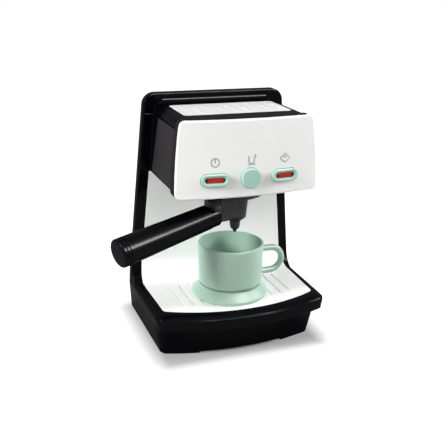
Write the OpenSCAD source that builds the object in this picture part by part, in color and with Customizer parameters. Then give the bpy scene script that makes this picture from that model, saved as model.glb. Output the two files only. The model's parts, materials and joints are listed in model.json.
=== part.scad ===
// Toy espresso coffee maker: base, columns, head, push buttons, bayonet portafilter, cup and saucer.
// Millimetres. +X to the right seen from the front, -Y to the front, +Z up.
// The origin is on the rest plane, at the centre of the base.

/* [Overall] */
// Overall height to the top of the rear frame
total_h = 250; // [235:1:300]
// Full width of the base rim in front of the columns
base_w = 187.5; // [170:0.5:215]
// Full depth of the base
base_d = 158.5; // [150:0.5:180]
// Wall thickness of the mouldings
wall = 2.4; // [1.8:0.1:3]

/* [Base] */
// Height of the lower edge of the rim band
band_z = 34; // [24:1:38]
// Height of the outer edge of the border round the tray
rim_z = 46.7; // [44:0.1:48]
// Height of the tray surface
tray_z = 49.6; // [48:0.1:56]
// Radius of the bowed front edge of the rim
rim_r = 240; // [200:5:400]
// Radius of the bowed front edge of the tray plate
tray_r = 180; // [150:5:300]
// Width of the sloping border beside the tray plate
border_w = 10.5; // [8:0.5:12]
// Depth of the overhang of the rim over the skirt at the front
overhang = 16; // [8:1:20]
// Sideways draft of the base from the rim to the floor
skirt_draft = 10.2; // [8.6:0.1:12]
// Height of the cut-out along the bottom front edge
toe_h = 2.2; // [1:0.1:4]
// Half width of the cut-out along the bottom front edge
toe_x = 42; // [30:1:55]

/* [Tray and back plate] */
// Number of drain grooves
groove_n = 12; // [6:2:14]
// Spacing of the drain grooves
groove_pitch = 10.65; // [8:0.05:11]
// Width of a drain groove
groove_w = 2; // [1:0.1:3]
// Depth of a drain groove
groove_d = 1.3; // [0.5:0.1:1.8]
// Radius of the curve between the tray and the back plate
sweep_r = 22; // [14:1:28]

/* [Columns] */
// Thickness of the rear frame
frame_t = 10; // [8:0.1:12]
// Distance from the front of the columns to the back of the base
frame_back = 43; // [36:1:50]
// Inward lean of each column for each millimetre of height
frame_lean = 0.086; // [0.06:0.002:0.09]
// Radius of the top corners of the frame
frame_r = 13; // [8:1:20]

/* [Head] */
// Height of the underside of the head
head_z0 = 169.5; // [165:0.5:172]
// Height of the seam under the top cover
cover_z = 230; // [222:1:234]
// Height of the flat top of the head
head_top = 239.7; // [236:0.1:246]
// Width of the head at the top seam
head_w = 134; // [120:1:136]
// Extra half width of the head at its underside
head_flare = 3; // [0:0.5:5]
// Radius of the long edges of the top cover
cover_r = 9; // [5:0.5:9]

/* [Fascia] */
// Width of the fascia at its top edge
fascia_top_w = 135; // [132:1:140]
// Width of the fascia at its bottom edge
fascia_bottom_w = 147.4; // [144:1:152]
// Height of the bottom edge of the fascia
fascia_z0 = 165.8; // [162:0.2:168]
// Radius of the bow of the fascia
fascia_bow = 430; // [350:10:800]
// Lean of the fascia from the vertical
fascia_lean = 4.71; // [0:0.01:6]
// Radius of the fascia's corners
fascia_r = 6; // [4:0.5:10]

/* [Buttons] */
// Height of the row of buttons
button_z = 184.1; // [182:0.1:192]
// Sideways distance of the oblong buttons
oblong_x = 35.4; // [30:0.2:40]
// Length of an oblong button
oblong_l = 28; // [22:0.5:32]
// Height of an oblong button
oblong_h = 12.5; // [10:0.5:14]
// Length of the window in an oblong button
window_l = 19.5; // [14:0.5:22]
// Height of the window in an oblong button
window_h = 5; // [3.5:0.5:6]
// Diameter of the round button
round_d = 19.5; // [16:0.5:19.5]
// Travel of the oblong buttons
oblong_travel = 2.5; // [1.5:0.1:2.6]
// Travel of the round button
round_travel = 3.5; // [2:0.1:3.6]

/* [Portafilter] */
// Distance of the brewing axis in front of the base centre
brew_y = 28; // [26:0.5:32]
// Outer radius of the filter bowl
bowl_r = 28; // [24:0.5:28]
// Height of the underside of the filter bowl
bowl_z = 159.5; // [158:0.5:161]
// Radius of the stem under the bowl
stem_r = 13.1; // [11.5:0.1:14]
// Height of the bottom of the stem
stem_z = 134.2; // [132:0.2:138]
// Height of the tip of the spout
tip_z = 117.8; // [112:0.2:119]
// Angle of the handle from straight forward to the left
handle_turn = 72; // [55:1:80]
// Downward slope of the handle
handle_droop = 8.7; // [4:0.1:12]
// Length of the grip
grip_l = 104; // [80:1:110]
// Radius of the grip at its inner end
grip_r1 = 12.1; // [10.5:0.1:13]
// Radius of the grip at its outer end
grip_r2 = 13.9; // [12:0.1:15]

/* [Cup and saucer] */
// Outer radius of the cup at its rim
cup_r = 33.8; // [33.4:0.2:36]
// Taper of the cup's wall from the rim to its lower edge
cup_taper = 0.8; // [0.4:0.1:2]
// Outer radius of the cup's foot
cup_foot_r = 29.6; // [27:0.1:30]
// Height of the cup's rim above the tray
cup_h = 55.7; // [48:0.1:58]
// Outer radius of the saucer
saucer_r = 38.9; // [37:0.1:42]
// Height of the saucer's lip above the tray
saucer_h = 12; // [10:0.2:14]
// Thickness of the cup's handle
loop_t = 6.6; // [5:0.1:7]
// Radius of the centre line of the cup's handle
loop_r = 12.6; // [10:0.1:14]
// Straight length of the cup's handle beside the wall
loop_straight = 11.8; // [5:0.2:14]

/* [Hidden] */
$fn = 64;

black = "#17181a";
charcoal = "#3c3d40";
white = "#f3f3f1";
mint = "#a5dac5";
red = "#d7301f";
steel = "#b9bcc0";

// fits
seam = 0.3;          // gap between mouldings that meet at a visible seam
seat = 0.1;          // gap between a panel and its pocket
slip = 0.35;         // gap round a button in its opening
run = 0.06;          // radial clearance of a guided stem
big = 400;

// main planes
front_y = -base_d / 2;
back_y = base_d / 2;
half_w = base_w / 2;
frame_y = back_y - frame_back;
frame_y2 = frame_y + frame_t;
plate_t = wall + 0.1;
col_z = 60;
function col_w(z) = half_w - 1.5 - frame_lean * (z - col_z);
function head_hw(z) = head_w / 2 + head_flare * (cover_z - z) / (cover_z - head_z0);

// fascia surface
lean_k = tan(fascia_lean);
fascia_y_top = -60.2;
function bow(x) = x * x / (2 * fascia_bow);
function face_y(z) = fascia_y_top - (head_top - z) * lean_k;
function fascia_hw(z) =
    fascia_top_w / 2 + (fascia_bottom_w - fascia_top_w) / 2 * (head_top - z) / (head_top - fascia_z0);
fascia_back = -44;

// places on the bowed fascia: +Z points out of the face
module on_face(x, z) {
    translate([x, face_y(z) + bow(x), z])
        rotate([0, 0, asin(x / fascia_bow)])
            rotate([90 - fascia_lean, 0, 0])
                children();
}

// ---------- plan outlines of the base ----------

// trapezoid with a bowed front and two rounded front corners, true arcs
// wb and wf are the half widths at the back and at the front corner line
// rb is the radius of the two back corners
module bowed_plan(wb, wf, yb, yf, bow_r, r, rb = 8) {
    yc = yf + bow_r;
    len = norm([wb - wf, yb - yf]);
    d = [(wf - wb) / len, (yf - yb) / len];
    n = [d[1], -d[0]];
    q = [wb + r * n[0], yb + r * n[1] - yc];
    qd = q[0] * d[0] + q[1] * d[1];
    t = -qd + sqrt(qd * qd - (q[0] * q[0] + q[1] * q[1]) + (bow_r - r) * (bow_r - r));
    c = [q[0] + t * d[0], q[1] + t * d[1] + yc];
    ts = [c[0] - r * n[0], c[1] - r * n[1]];
    ta = [c[0] * bow_r / (bow_r - r), yc + (c[1] - yc) * bow_r / (bow_r - r)];
    tb = (-rb - rb * n[1]) / d[1];
    cb = [wb + rb * n[0] + tb * d[0], yb - rb];
    sb = [cb[0] - rb * n[0], cb[1] - rb * n[1]];
    intersection() {
        translate([0, yc])
            circle(r = bow_r, $fn = 360);
        polygon([
            [cb[0], yb], sb, ts, ta, [ta[0], yf - 20],
            [-ta[0], yf - 20], [-ta[0], ta[1]], [-ts[0], ts[1]], [-sb[0], sb[1]], [-cb[0], yb]
        ]);
    }
    for (s = [-1, 1]) {
        translate([s * c[0], c[1]])
            circle(r = r, $fn = 48);
        translate([s * cb[0], cb[1]])
            circle(r = rb, $fn = 48);
    }
}

// outline of the base as evenly spaced points, bowed in front and drawn in behind the columns
// wb and wf are the half widths at the back and at the front corner line, b the half width of the back edge
function half_outline(wb, wf, b, yb, yf, bow_r, r, rb) =
    let (
        k = 0.25,
        yc = yf + bow_r,
        m = (wf - wb) / (yb - yf),
        len = norm([wb - wf, yb - yf]),
        d = [(wf - wb) / len, (yf - yb) / len],
        n = [-d[1], d[0]],
        q = [wb - r * n[0], yb - r * n[1] - yc],
        qd = q * d,
        t = -qd + sqrt(qd * qd - q * q + (bow_r - r) * (bow_r - r)),
        c = [q[0] + t * d[0], q[1] + t * d[1] + yc],
        a1 = atan2(n[1], n[0]),
        a2 = atan2(c[1] - yc, c[0]),
        ts = max((wb - b) / (k - m), rb * 1.6),
        xr = b + k * rb - rb * norm([1, k])
    )
    [
        for (i = [0 : 4]) let (a = 90 + (atan(k) - 90) * i / 4) [xr + rb * cos(a), yb - rb + rb * sin(a)],
        [wb + m * ts, yb - ts],
        for (i = [0 : 9]) let (a = a1 + (a2 - a1) * i / 9) [c[0] + r * cos(a), c[1] + r * sin(a)],
        for (i = [1 : 13]) let (a = a2 + (-90 - a2) * i / 13) [bow_r * cos(a), yc + bow_r * sin(a)]
    ];

module base_outline(p) {
    polygon([
        for (i = [0 : len(p) - 1]) p[i],
        for (i = [len(p) - 2 : -1 : 0]) [-p[i][0], p[i][1]]
    ]);
}

// the rim, and below it the sides as they draw in to the floor at low = 1
module rim_plan(inset, spread, low = 0) {
    base_outline(half_outline(
        half_w - 0.9 + spread - low * skirt_draft - inset,
        half_w - 2.7 + spread - low * (skirt_draft - 1.3) - inset,
        half_w - 9.5 - inset - low * 1.7, back_y - inset, front_y + inset, rim_r - inset, max(12 - inset, 3),
        max(4 - inset, 1)));
}

// the skirt under the rim band: same sides, front set back
module skirt_plan(low, inset) {
    base_outline(half_outline(
        half_w - 0.9 - low * skirt_draft - inset, half_w - 2.7 - low * (skirt_draft - 1.3) - inset,
        half_w - 9.5 - inset - low * 1.7,
        back_y - inset, front_y + overhang - 1.1 + low * 5.9 + inset, rim_r, 9, max(4 - inset, 1)));
}

module tray_plan(grow) {
    bowed_plan(half_w - border_w + 0.8 + grow, half_w - border_w - 2.4 + grow,
        frame_y + 10, front_y + 10.8 - grow, tray_r, 6 + grow);
}

// thin slice of an outline at a height
module slice(z) {
    translate([0, 0, z])
        linear_extrude(0.02)
            children();
}

// ---------- rear frame ----------

module frame_outline() {
    offset(r = frame_r)
        offset(delta = -frame_r)
            polygon([
                [-half_w + 1.7, 30], [half_w - 1.7, 30], [col_w(col_z), col_z],
                [col_w(total_h), total_h], [-col_w(total_h), total_h], [-col_w(col_z), col_z]
            ]);
}

// the frame as one slab with softly rounded edges; the nodes take bands of it
module frame_slab(z0, z1) {
    e = 1.4;
    intersection() {
        translate([0, frame_y2, 0])
            rotate([90, 0, 0])
                hull()
                    for (a = [0, 45, 90])
                        translate([0, 0, e * (1 - cos(a))])
                            linear_extrude(frame_t - 2 * e * (1 - cos(a)))
                                offset(delta = -e * (1 - sin(a)))
                                    frame_outline();
        translate([-big / 2, -big / 2, z0])
            cube([big, big, z1 - z0]);
    }
}

// ---------- tray and back plate in side view (Y across, Z up) ----------

// open side of the swept surface, moved back by t
module sweep_side(t) {
    r = sweep_r + t;
    difference() {
        translate([-big, tray_z - t])
            square([big + frame_y + t, big]);
        difference() {
            translate([frame_y + t - r, tray_z - t])
                square([r + 1, r]);
            translate([frame_y + t - r, tray_z - t + r])
                circle(r = r, $fn = 96);
            translate([frame_y + t - r - 1, tray_z - t + r])
                square([r + 3, 1]);
        }
    }
}

module along_x(w) {
    translate([-w / 2, 0, 0])
        rotate([90, 0, 90])
            linear_extrude(w)
                children();
}

module plate_front_outline(grow) {
    k = 0.09;
    w = half_w - border_w - 1.8 + grow;
    polygon([
        [-w - 1.6, 30], [-w - 1.6, tray_z + 1], [-w, tray_z + 13],
        [-w + k * (head_z0 - tray_z - 13), head_z0 - seam], [w - k * (head_z0 - tray_z - 13), head_z0 - seam],
        [w, tray_z + 13], [w + 1.6, tray_z + 1], [w + 1.6, 30]
    ]);
}

module plate_bounds(grow) {
    intersection() {
        linear_extrude(head_z0 + 20)
            tray_plan(grow);
        translate([0, frame_y2, 0])
            rotate([90, 0, 0])
                linear_extrude(big)
                    plate_front_outline(grow);
    }
}

// ---------- base ----------

side_z = rim_z - 3.2;
border_k = 26;
foot_sweep = 20;

// prism whose upper side is the border tilted outwards, curving up into the front of a column
module border_sweep(s) {
    translate([s * (half_w - border_w - 1.2), 0, tray_z])
        rotate([0, s * border_k, 0])
            along_x(60)
                difference() {
                    translate([frame_y - foot_sweep, -9])
                        square([foot_sweep + 2, foot_sweep + 9]);
                    translate([frame_y - foot_sweep + 0.3, foot_sweep])
                        circle(r = foot_sweep, $fn = 96);
                    translate([frame_y - foot_sweep - 1, 0])
                        square([1, foot_sweep]);
                }
}

post_x = 62;
post_y = [-38, 52];
post_r = 4.5;
screw_r = 1.3;
head_r = 3.1;
boss_h = 5;

module base_shell() {
    color(black) {
        difference() {
            union() {
                // body, cut back under the band at the front only
                difference() {
                    hull() {
                        slice(0) rim_plan(0, 0, 1);
                        slice(rim_z - 3.2) rim_plan(0, 0);
                        slice(rim_z - 1.2) rim_plan(0.4, 0);
                        slice(rim_z + 0.35) rim_plan(1.8, 0);
                        slice((rim_z + tray_z) / 2 + 0.75) rim_plan(4.6, 0);
                        slice(tray_z - 0.02) rim_plan(7.6, 8 - border_w);
                    }
                    difference() {
                        translate([-big / 2, front_y - 10, -1])
                            cube([big, 60, band_z + 1]);
                        hull() {
                            slice(-2) skirt_plan(1 + 2 / side_z, -0.12);
                            slice(band_z + 2) skirt_plan(1 - (band_z + 2) / side_z, -0.12);
                        }
                    }
                    // rounded lower edge of the band
                    difference() {
                        translate([-big / 2, front_y - 10, band_z - 0.5])
                            cube([big, 60, 3]);
                        hull() {
                            slice(band_z - 1) rim_plan(2.6, 4);
                            slice(band_z + 3) rim_plan(-1.4, 1);
                        }
                    }
                }
                // the border sweeps up into the columns on both sides
                for (s = [-1, 1])
                    intersection() {
                        border_sweep(s);
                        along_y(frame_y - foot_sweep - 1, frame_y + 2)
                            polygon([
                                [s * (half_w - 14), 42], [s * (half_w - 1.75), 42],
                                [s * (col_w(col_z) - 0.05), col_z], [s * (col_w(110) - 0.05), 110],
                                [s * (half_w - 24), 110]
                            ]);
                        linear_extrude(total_h)
                            rim_plan(0.9, 0);
                    }
                frame_slab(tray_z - 6, head_z0 - seam);
            }
            // hollow of the base
            hull() {
                slice(-1) skirt_plan(1, wall + 0.2);
                slice(band_z + 1) skirt_plan(1 - (band_z + 1) / side_z, wall + 0.2);
            }
            translate([0, 0, band_z + 0.5])
                linear_extrude(tray_z - plate_t - seat - wall - band_z - 0.5)
                    skirt_plan(1 - (band_z + 1) / side_z, wall + 0.9);
            // pocket of the tray and back plate
            intersection() {
                along_x(big)
                    difference() {
                        sweep_side(plate_t + seat);
                        sweep_side(-2);
                    }
                plate_bounds(seat);
            }
            // hollow behind the back plate, with two bosses for the screws of the rear cover
            difference() {
                translate([0, frame_y2 + 0.01, 0])
                    rotate([90, 0, 0])
                        linear_extrude(frame_t - plate_t - seat - wall)
                            polygon([
                                [-col_w(70) + 9, 70], [col_w(70) - 9, 70],
                                [col_w(160) - 9, 160], [-col_w(160) + 9, 160]
                            ]);
                for (s = [-1, 1])
                    translate([s * rear_x1, frame_y2 + 1, rear_z1])
                        rotate([90, 0, 0])
                            cylinder(h = frame_t, r = 4.2);
            }
            // toe cut-out with its two pockets
            translate([-toe_x, front_y, -1])
                cube([2 * toe_x, 40, toe_h + 1]);
            for (s = [-1, 1])
                translate([s * toe_x - 3, front_y, -1])
                    cube([6, 30, toe_h + 2.6]);
            // holes for the screws of the rear cover
            for (s = [-1, 1])
                translate([s * rear_x1, frame_y2 + 1, rear_z1])
                    rotate([90, 0, 0])
                        cylinder(h = frame_t, r = screw_r + 0.05);
        }
        // screw posts
        for (x = [-post_x, post_x], y = post_y)
            translate([x, y, boss_h])
                difference() {
                    cylinder(h = tray_z - plate_t - wall - boss_h, r = post_r);
                    translate([0, 0, -1])
                        cylinder(h = 16, r = screw_r + 0.05);
                }
    }
}

module base_plate() {
    color(black)
        difference() {
            union() {
                linear_extrude(plate_t)
                    skirt_plan(1, wall + 0.6);
                for (x = [-post_x, post_x], y = post_y)
                    translate([x, y, 0])
                        cylinder(h = boss_h, r = 6.5);
            }
            for (x = [-post_x, post_x], y = post_y)
                translate([x, y, 0]) {
                    translate([0, 0, -1])
                        cylinder(h = 3.6, r = head_r + 0.3);
                    cylinder(h = 2 * boss_h, r = screw_r + 0.3);
                }
        }
}

// grooves in plan; the outer ones stop shorter, along the bow of the front edge
groove_y1 = frame_y - sweep_r - 9;
module grooves() {
    for (i = [0 : groove_n - 1]) {
        x = (i - (groove_n - 1) / 2) * groove_pitch;
        y0 = front_y + 34.4 + x * x / (2 * tray_r) * 0.62 - 1.2;
        translate([x - groove_w / 2, y0])
            square([groove_w, groove_y1 - y0]);
        for (y = [y0, groove_y1])
            translate([x, y])
                circle(d = groove_w, $fn = 24);
    }
}

module splash_plate() {
    color(white)
        difference() {
            intersection() {
                along_x(big)
                    difference() {
                        sweep_side(plate_t);
                        sweep_side(0);
                    }
                plate_bounds(0);
            }
            translate([0, 0, tray_z - groove_d])
                linear_extrude(10)
                    grooves();
        }
}

// ---------- rear cover ----------

rear_x1 = 56;
rear_x2 = 48;
rear_z1 = 84;
rear_z2 = 206;
rear_w0 = half_w - 19;
rear_w1 = half_w - 31;
rear_y0 = back_y - 2;
rear_y1 = back_y - 19;

module rear_rect(w, y, inset) {
    intersection() {
        union() {
            translate([-w + inset, frame_y2 - 10])
                square([2 * (w - inset), y - frame_y2 + 2]);
            translate([-w + 8, frame_y2 - 10])
                square([2 * (w - 8), y - frame_y2 - inset + 10]);
            for (s = [-1, 1])
                translate([s * (w - 8), y - 8])
                    circle(r = 8 - inset, $fn = 32);
        }
        translate([-big / 2, frame_y2])
            square(big);
    }
}

module rear_form(inset, drop) {
    z0 = tray_z;
    z1 = total_h - 17;
    hull() {
        slice(z0 - drop) rear_rect(rear_w0, rear_y0, inset);
        slice(z1 - inset) rear_rect(rear_w1, rear_y1, inset);
        slice(z1 + 4 - inset) rear_rect(rear_w1 - 1.5, rear_y1 - 2, inset);
        slice(z1 + 7 - inset) rear_rect(rear_w1 - 6, rear_y1 - 7, inset);
    }
}

rear_points = [[-rear_x1, rear_z1], [rear_x1, rear_z1], [-rear_x2, rear_z2], [rear_x2, rear_z2]];

module rear_cover() {
    color(black)
        difference() {
            union() {
                difference() {
                    rear_form(0, 0);
                    difference() {
                        translate([0, -0.5, 0])
                            rear_form(wall, 1);
                        // floor flange left along the bottom edge
                        translate([-big / 2, frame_y2 + 12, 0])
                            cube([big, big, tray_z + wall]);
                    }
                }
                intersection() {
                    rear_form(0, 0);
                    for (p = rear_points)
                        translate([p[0], frame_y2 + seat, p[1]])
                            rotate([-90, 0, 0])
                                cylinder(h = 60, r = head_r + 2.6);
                }
            }
            for (p = rear_points)
                translate([p[0], frame_y2, p[1]])
                    rotate([-90, 0, 0]) {
                        translate([0, 0, 3])
                            cylinder(h = 60, r = head_r + 0.4);
                        translate([0, 0, -1])
                            cylinder(h = 10, r = screw_r + 0.3);
                    }
        }
}

module screw(l) {
    cylinder(h = l, r = screw_r);
    difference() {
        translate([0, 0, -1.9])
            cylinder(h = 1.9, r = head_r);
        for (a = [0, 90])
            rotate([0, 0, a])
                translate([-2, -0.4, -3])
                    cube([4, 0.8, 2.2]);
    }
}

module housing_screws() {
    color(steel) {
        for (x = [-post_x, post_x], y = post_y)
            translate([x, y, 2.6])
                screw(10);
        for (p = rear_points)
            translate([p[0], frame_y2 + 3, p[1]])
                rotate([90, 0, 0])
                    screw(7);
    }
}

// ---------- head ----------

module head_section(inset, z0, z1) {
    polygon([
        [-head_hw(z0) + inset, z0], [head_hw(z0) - inset, z0],
        [head_hw(z1) - inset, z1], [-head_hw(z1) + inset, z1]
    ]);
}

module along_y(y0, y1) {
    translate([0, y1, 0])
        rotate([90, 0, 0])
            linear_extrude(y1 - y0)
                children();
}

// side panel outline in side view
module panel_side(grow) {
    polygon([
        [fascia_back + seam - grow, head_z0 + 1.4 - grow], [frame_y - 5.5 + grow, head_z0 + 1.4 - grow],
        [frame_y - 21 + grow, cover_z - 1.2 + grow], [fascia_back + seam - grow, cover_z - 1.2 + grow]
    ]);
}

// sheet that lies along the leaning side of the head
module side_sheet(s, depth, out) {
    za = head_z0 - 5;
    zb = cover_z + 5;
    along_y(-big / 2, big / 2)
        polygon([
            [s * (head_hw(za) - depth), za], [s * (head_hw(za) + out), za],
            [s * (head_hw(zb) + out), zb], [s * (head_hw(zb) - depth), zb]
        ]);
}

module side_panel(s) {
    color(charcoal)
        intersection() {
            side_sheet(s, 1.3, 0.3);
            along_x(big)
                panel_side(0);
        }
}
module side_panel_left() { side_panel(-1); }
module side_panel_right() { side_panel(1); }

group_r = bowl_r + 5.2;

// inner outline of the fascia at its open back, used by the lip that carries it
module fascia_inner(gap) {
    z0 = fascia_z0 + wall + gap;
    z1 = head_top - wall - gap;
    polygon([
        [-fascia_hw(z0) + wall + gap, z0], [fascia_hw(z0) - wall - gap, z0],
        [fascia_hw(z1) - wall - gap, z1], [-fascia_hw(z1) + wall + gap, z1]
    ]);
}

module head_housing() {
    floor_t = 2.5;
    color(black)
        difference() {
            union() {
                difference() {
                    along_y(fascia_back, frame_y + 1)
                        head_section(0, head_z0, cover_z - seam);
                    along_y(fascia_back - 1, frame_y + 2)
                        head_section(wall + 0.2, head_z0 + floor_t, cover_z + 5);
                }
                // lip that enters the fascia
                intersection() {
                    along_y(fascia_back - 7, fascia_back + 1.5)
                        difference() {
                            fascia_inner(0.35);
                            fascia_inner(2.4);
                        }
                    translate([-big / 2, -big / 2, fascia_z0 + 10])
                        cube([big, big, cover_z - seam - fascia_z0 - 10]);
                    union() {
                        along_y(-big / 2, fascia_back)
                            fascia_inner(0);
                        along_y(fascia_back - 1, big / 2)
                            head_section(0, head_z0, cover_z - seam);
                    }
                }
                // floor reaching forward over the group
                translate([-group_r - 8, face_y(head_z0) + wall + 2.2, head_z0])
                    cube([2 * group_r + 16, fascia_back - face_y(head_z0), floor_t]);
                frame_slab(head_z0, cover_z - seam);
            }
            // opening between the head and the rear cover
            along_y(frame_y - 0.5, frame_y2 + 1)
                polygon([
                    [-48, head_z0 + 8], [48, head_z0 + 8],
                    [42, cover_z - 8], [-42, cover_z - 8]
                ]);
            // seat of the group
            translate([0, -brew_y, head_z0 - 5])
                cylinder(h = 20, r = group_r + 0.2);
            // recesses of the side panels
            for (s = [-1, 1])
                intersection() {
                    side_sheet(s, 1.3 + seat, 2);
                    along_x(big)
                        panel_side(0.15);
                }
            // holes for the screws of the rear cover
            for (s = [-1, 1])
                translate([s * rear_x2, frame_y2 + 1, rear_z2])
                    rotate([90, 0, 0])
                        cylinder(h = frame_t, r = screw_r + 0.05);
        }
}

// cross-section of the top cover: flat top, long edges rounded
module cover_section(inset) {
    hw = head_hw(head_top);
    r = cover_r - inset;
    polygon([
        [-hw + inset, cover_z], [hw - inset, cover_z], [hw - inset, head_top - cover_r],
        [hw - cover_r, head_top - inset], [-hw + cover_r, head_top - inset], [-hw + inset, head_top - cover_r]
    ]);
    for (s = [-1, 1])
        translate([s * (hw - cover_r), head_top - cover_r])
            circle(r = r, $fn = 64);
}

panel_hw = 55.6;
panel_y0 = -32.4;
panel_y1 = 20.3;
panel_t = 2;

module panel_plan(grow) {
    r = 4.5;
    translate([-panel_hw - grow, panel_y0 + r])
        square([2 * panel_hw + 2 * grow, panel_y1 - panel_y0 - 2 * r]);
    translate([-panel_hw + r, panel_y0 - grow])
        square([2 * panel_hw - 2 * r, panel_y1 - panel_y0 + 2 * grow]);
    for (x = [-panel_hw + r, panel_hw - r], y = [panel_y0 + r, panel_y1 - r])
        translate([x, y])
            circle(r = r + grow, $fn = 48);
}

// body of the cover over the head, ending just behind the bowed fascia
module cover_form(gap) {
    yc = fascia_y_top + fascia_bow + wall - 0.4 - gap;
    intersection() {
        along_y(-big / 2, frame_y + 1)
            union() {
                intersection() {
                    cover_section(-gap);
                    translate([-big / 2, cover_z - gap])
                        square([big, big]);
                }
            }
        translate([0, yc, cover_z - 5])
            cylinder(h = 30, r = fascia_bow, $fn = 360);
    }
}

module top_cover() {
    fr = 6;
    color(black)
        difference() {
            union() {
                cover_form(0);
                frame_slab(cover_z, total_h + 1);
                // fillet between the flat top and the raised frame
                along_x(2 * (head_hw(head_top) - cover_r))
                    difference() {
                        translate([frame_y - fr, head_top - 1])
                            square([fr + 2, fr + 1]);
                        translate([frame_y - fr, head_top + fr])
                            circle(r = fr, $fn = 64);
                    }
            }
            // hollow
            intersection() {
                along_y(-big / 2, frame_y - wall)
                    difference() {
                        cover_section(wall);
                        translate([-big / 2, head_top - panel_t - seat - wall])
                            square([big, 20]);
                    }
                translate([0, fascia_y_top + fascia_bow + 2 * wall - 0.4, cover_z - 5])
                    cylinder(h = 30, r = fascia_bow, $fn = 360);
                translate([-big / 2, -big / 2, cover_z - 1])
                    cube([big, big, big]);
            }
            // pocket of the top panel
            translate([0, 0, head_top - panel_t - seat])
                linear_extrude(10)
                    panel_plan(seat);
        }
}

module top_panel() {
    n = 9;
    pitch = 12;
    color(white)
        difference() {
            translate([0, 0, head_top - panel_t])
                linear_extrude(panel_t + 0.2)
                    panel_plan(0);
            for (i = [0 : n - 1])
                translate([(i - (n - 1) / 2) * pitch - 0.8, panel_y0 + 4, head_top - 0.6])
                    cube([1.6, panel_y1 - panel_y0 - 8, 2]);
        }
}

// ---------- fascia ----------

// points along the outline of the fascia, moved in by m; [x, z]
function edge_points(m) = [
    for (sx = [-1, 1], a = [0 : 22.5 : 90])
        let (r = fascia_r - m, z = head_top - fascia_r)
            [sx * (fascia_hw(z) - fascia_r + r * cos(a)), z + r * sin(a)],
    for (sx = [-1, 1], a = [0 : 22.5 : 90])
        let (r = fascia_r - m, z = fascia_z0 + fascia_r)
            [sx * (fascia_hw(z) - fascia_r + r * cos(a)), z - r * sin(a)],
    for (i = [-5 : 5], z = [head_top - m, fascia_z0 + m])
        [i * (fascia_hw(z) - fascia_r) / 5.5, z],
    for (sx = [-1, 1], k = [0.3, 0.55, 0.8])
        let (z = fascia_z0 + k * (head_top - fascia_z0))
            [sx * (fascia_hw(z) + 0.9 * sin(k * 180) - m), z]
];

module fascia_hull(m, front, r, back) {
    hull()
        for (p = edge_points(m + r)) {
            translate([p[0], face_y(p[1]) + bow(p[0]) + front + r, p[1]])
                sphere(r = r, $fn = 16);
            translate([p[0], back, p[1]])
                rotate([90, 0, 0])
                    cylinder(h = 0.1, r = r, $fn = 16);
        }
}

module stadium(l, h) {
    square([l - h, h], center = true);
    for (s = [-1, 1])
        translate([s * (l - h) / 2, 0])
            circle(d = h, $fn = 48);
}

module fascia() {
    color(white)
        difference() {
            fascia_hull(0, 0, 2, fascia_back);
            fascia_hull(wall, wall, 1, fascia_back + 1);
            // openings of the buttons
            for (s = [-1, 1])
                on_face(s * oblong_x, button_z)
                    translate([0, 0, -10])
                        linear_extrude(20)
                            stadium(oblong_l + 2 * slip, oblong_h + 2 * slip);
            on_face(0, button_z)
                translate([0, 0, -10])
                    cylinder(h = 20, d = round_d + 2 * slip);
            // room for the top cover
            cover_form(0.2);
            // room for the group
            translate([0, -brew_y, fascia_z0 - 10])
                cylinder(h = 20, r = group_r + 0.8);
        }
}

// ---------- buttons ----------

carrier_w = -16;
carrier_t = 2.5;
carrier_x = oblong_x + oblong_l / 2 + 5.4;
barrel_in = 7;
stem_rad = 3;
// a key pressed all the way in still stands this far out of the fascia
pressed_proud = 0.5;
proud_oblong = oblong_travel + pressed_proud;
proud_round = round_travel + pressed_proud;
ear_w = -wall - 0.8;

module button_carrier() {
    color(charcoal)
        difference() {
            union() {
                on_face(0, button_z) {
                    translate([-carrier_x - 3, -5.8, carrier_w - carrier_t])
                        cube([2 * carrier_x + 6, 14, carrier_t]);
                    for (s = [-1, 1])
                        translate([s * carrier_x, 0, carrier_w - carrier_t])
                            cylinder(h = carrier_t - carrier_w - wall - 0.25 - bow(carrier_x + 3), r = 2.6);
                }
                for (s = [-1, 0, 1])
                    on_face(s * oblong_x, button_z)
                        translate([0, 0, carrier_w - carrier_t - 3])
                            cylinder(h = 4, r = stem_rad + 2);
            }
            for (s = [-1, 0, 1])
                on_face(s * oblong_x, button_z)
                    translate([0, 0, -40])
                        cylinder(h = 36, r = stem_rad + run);
        }
}

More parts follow.
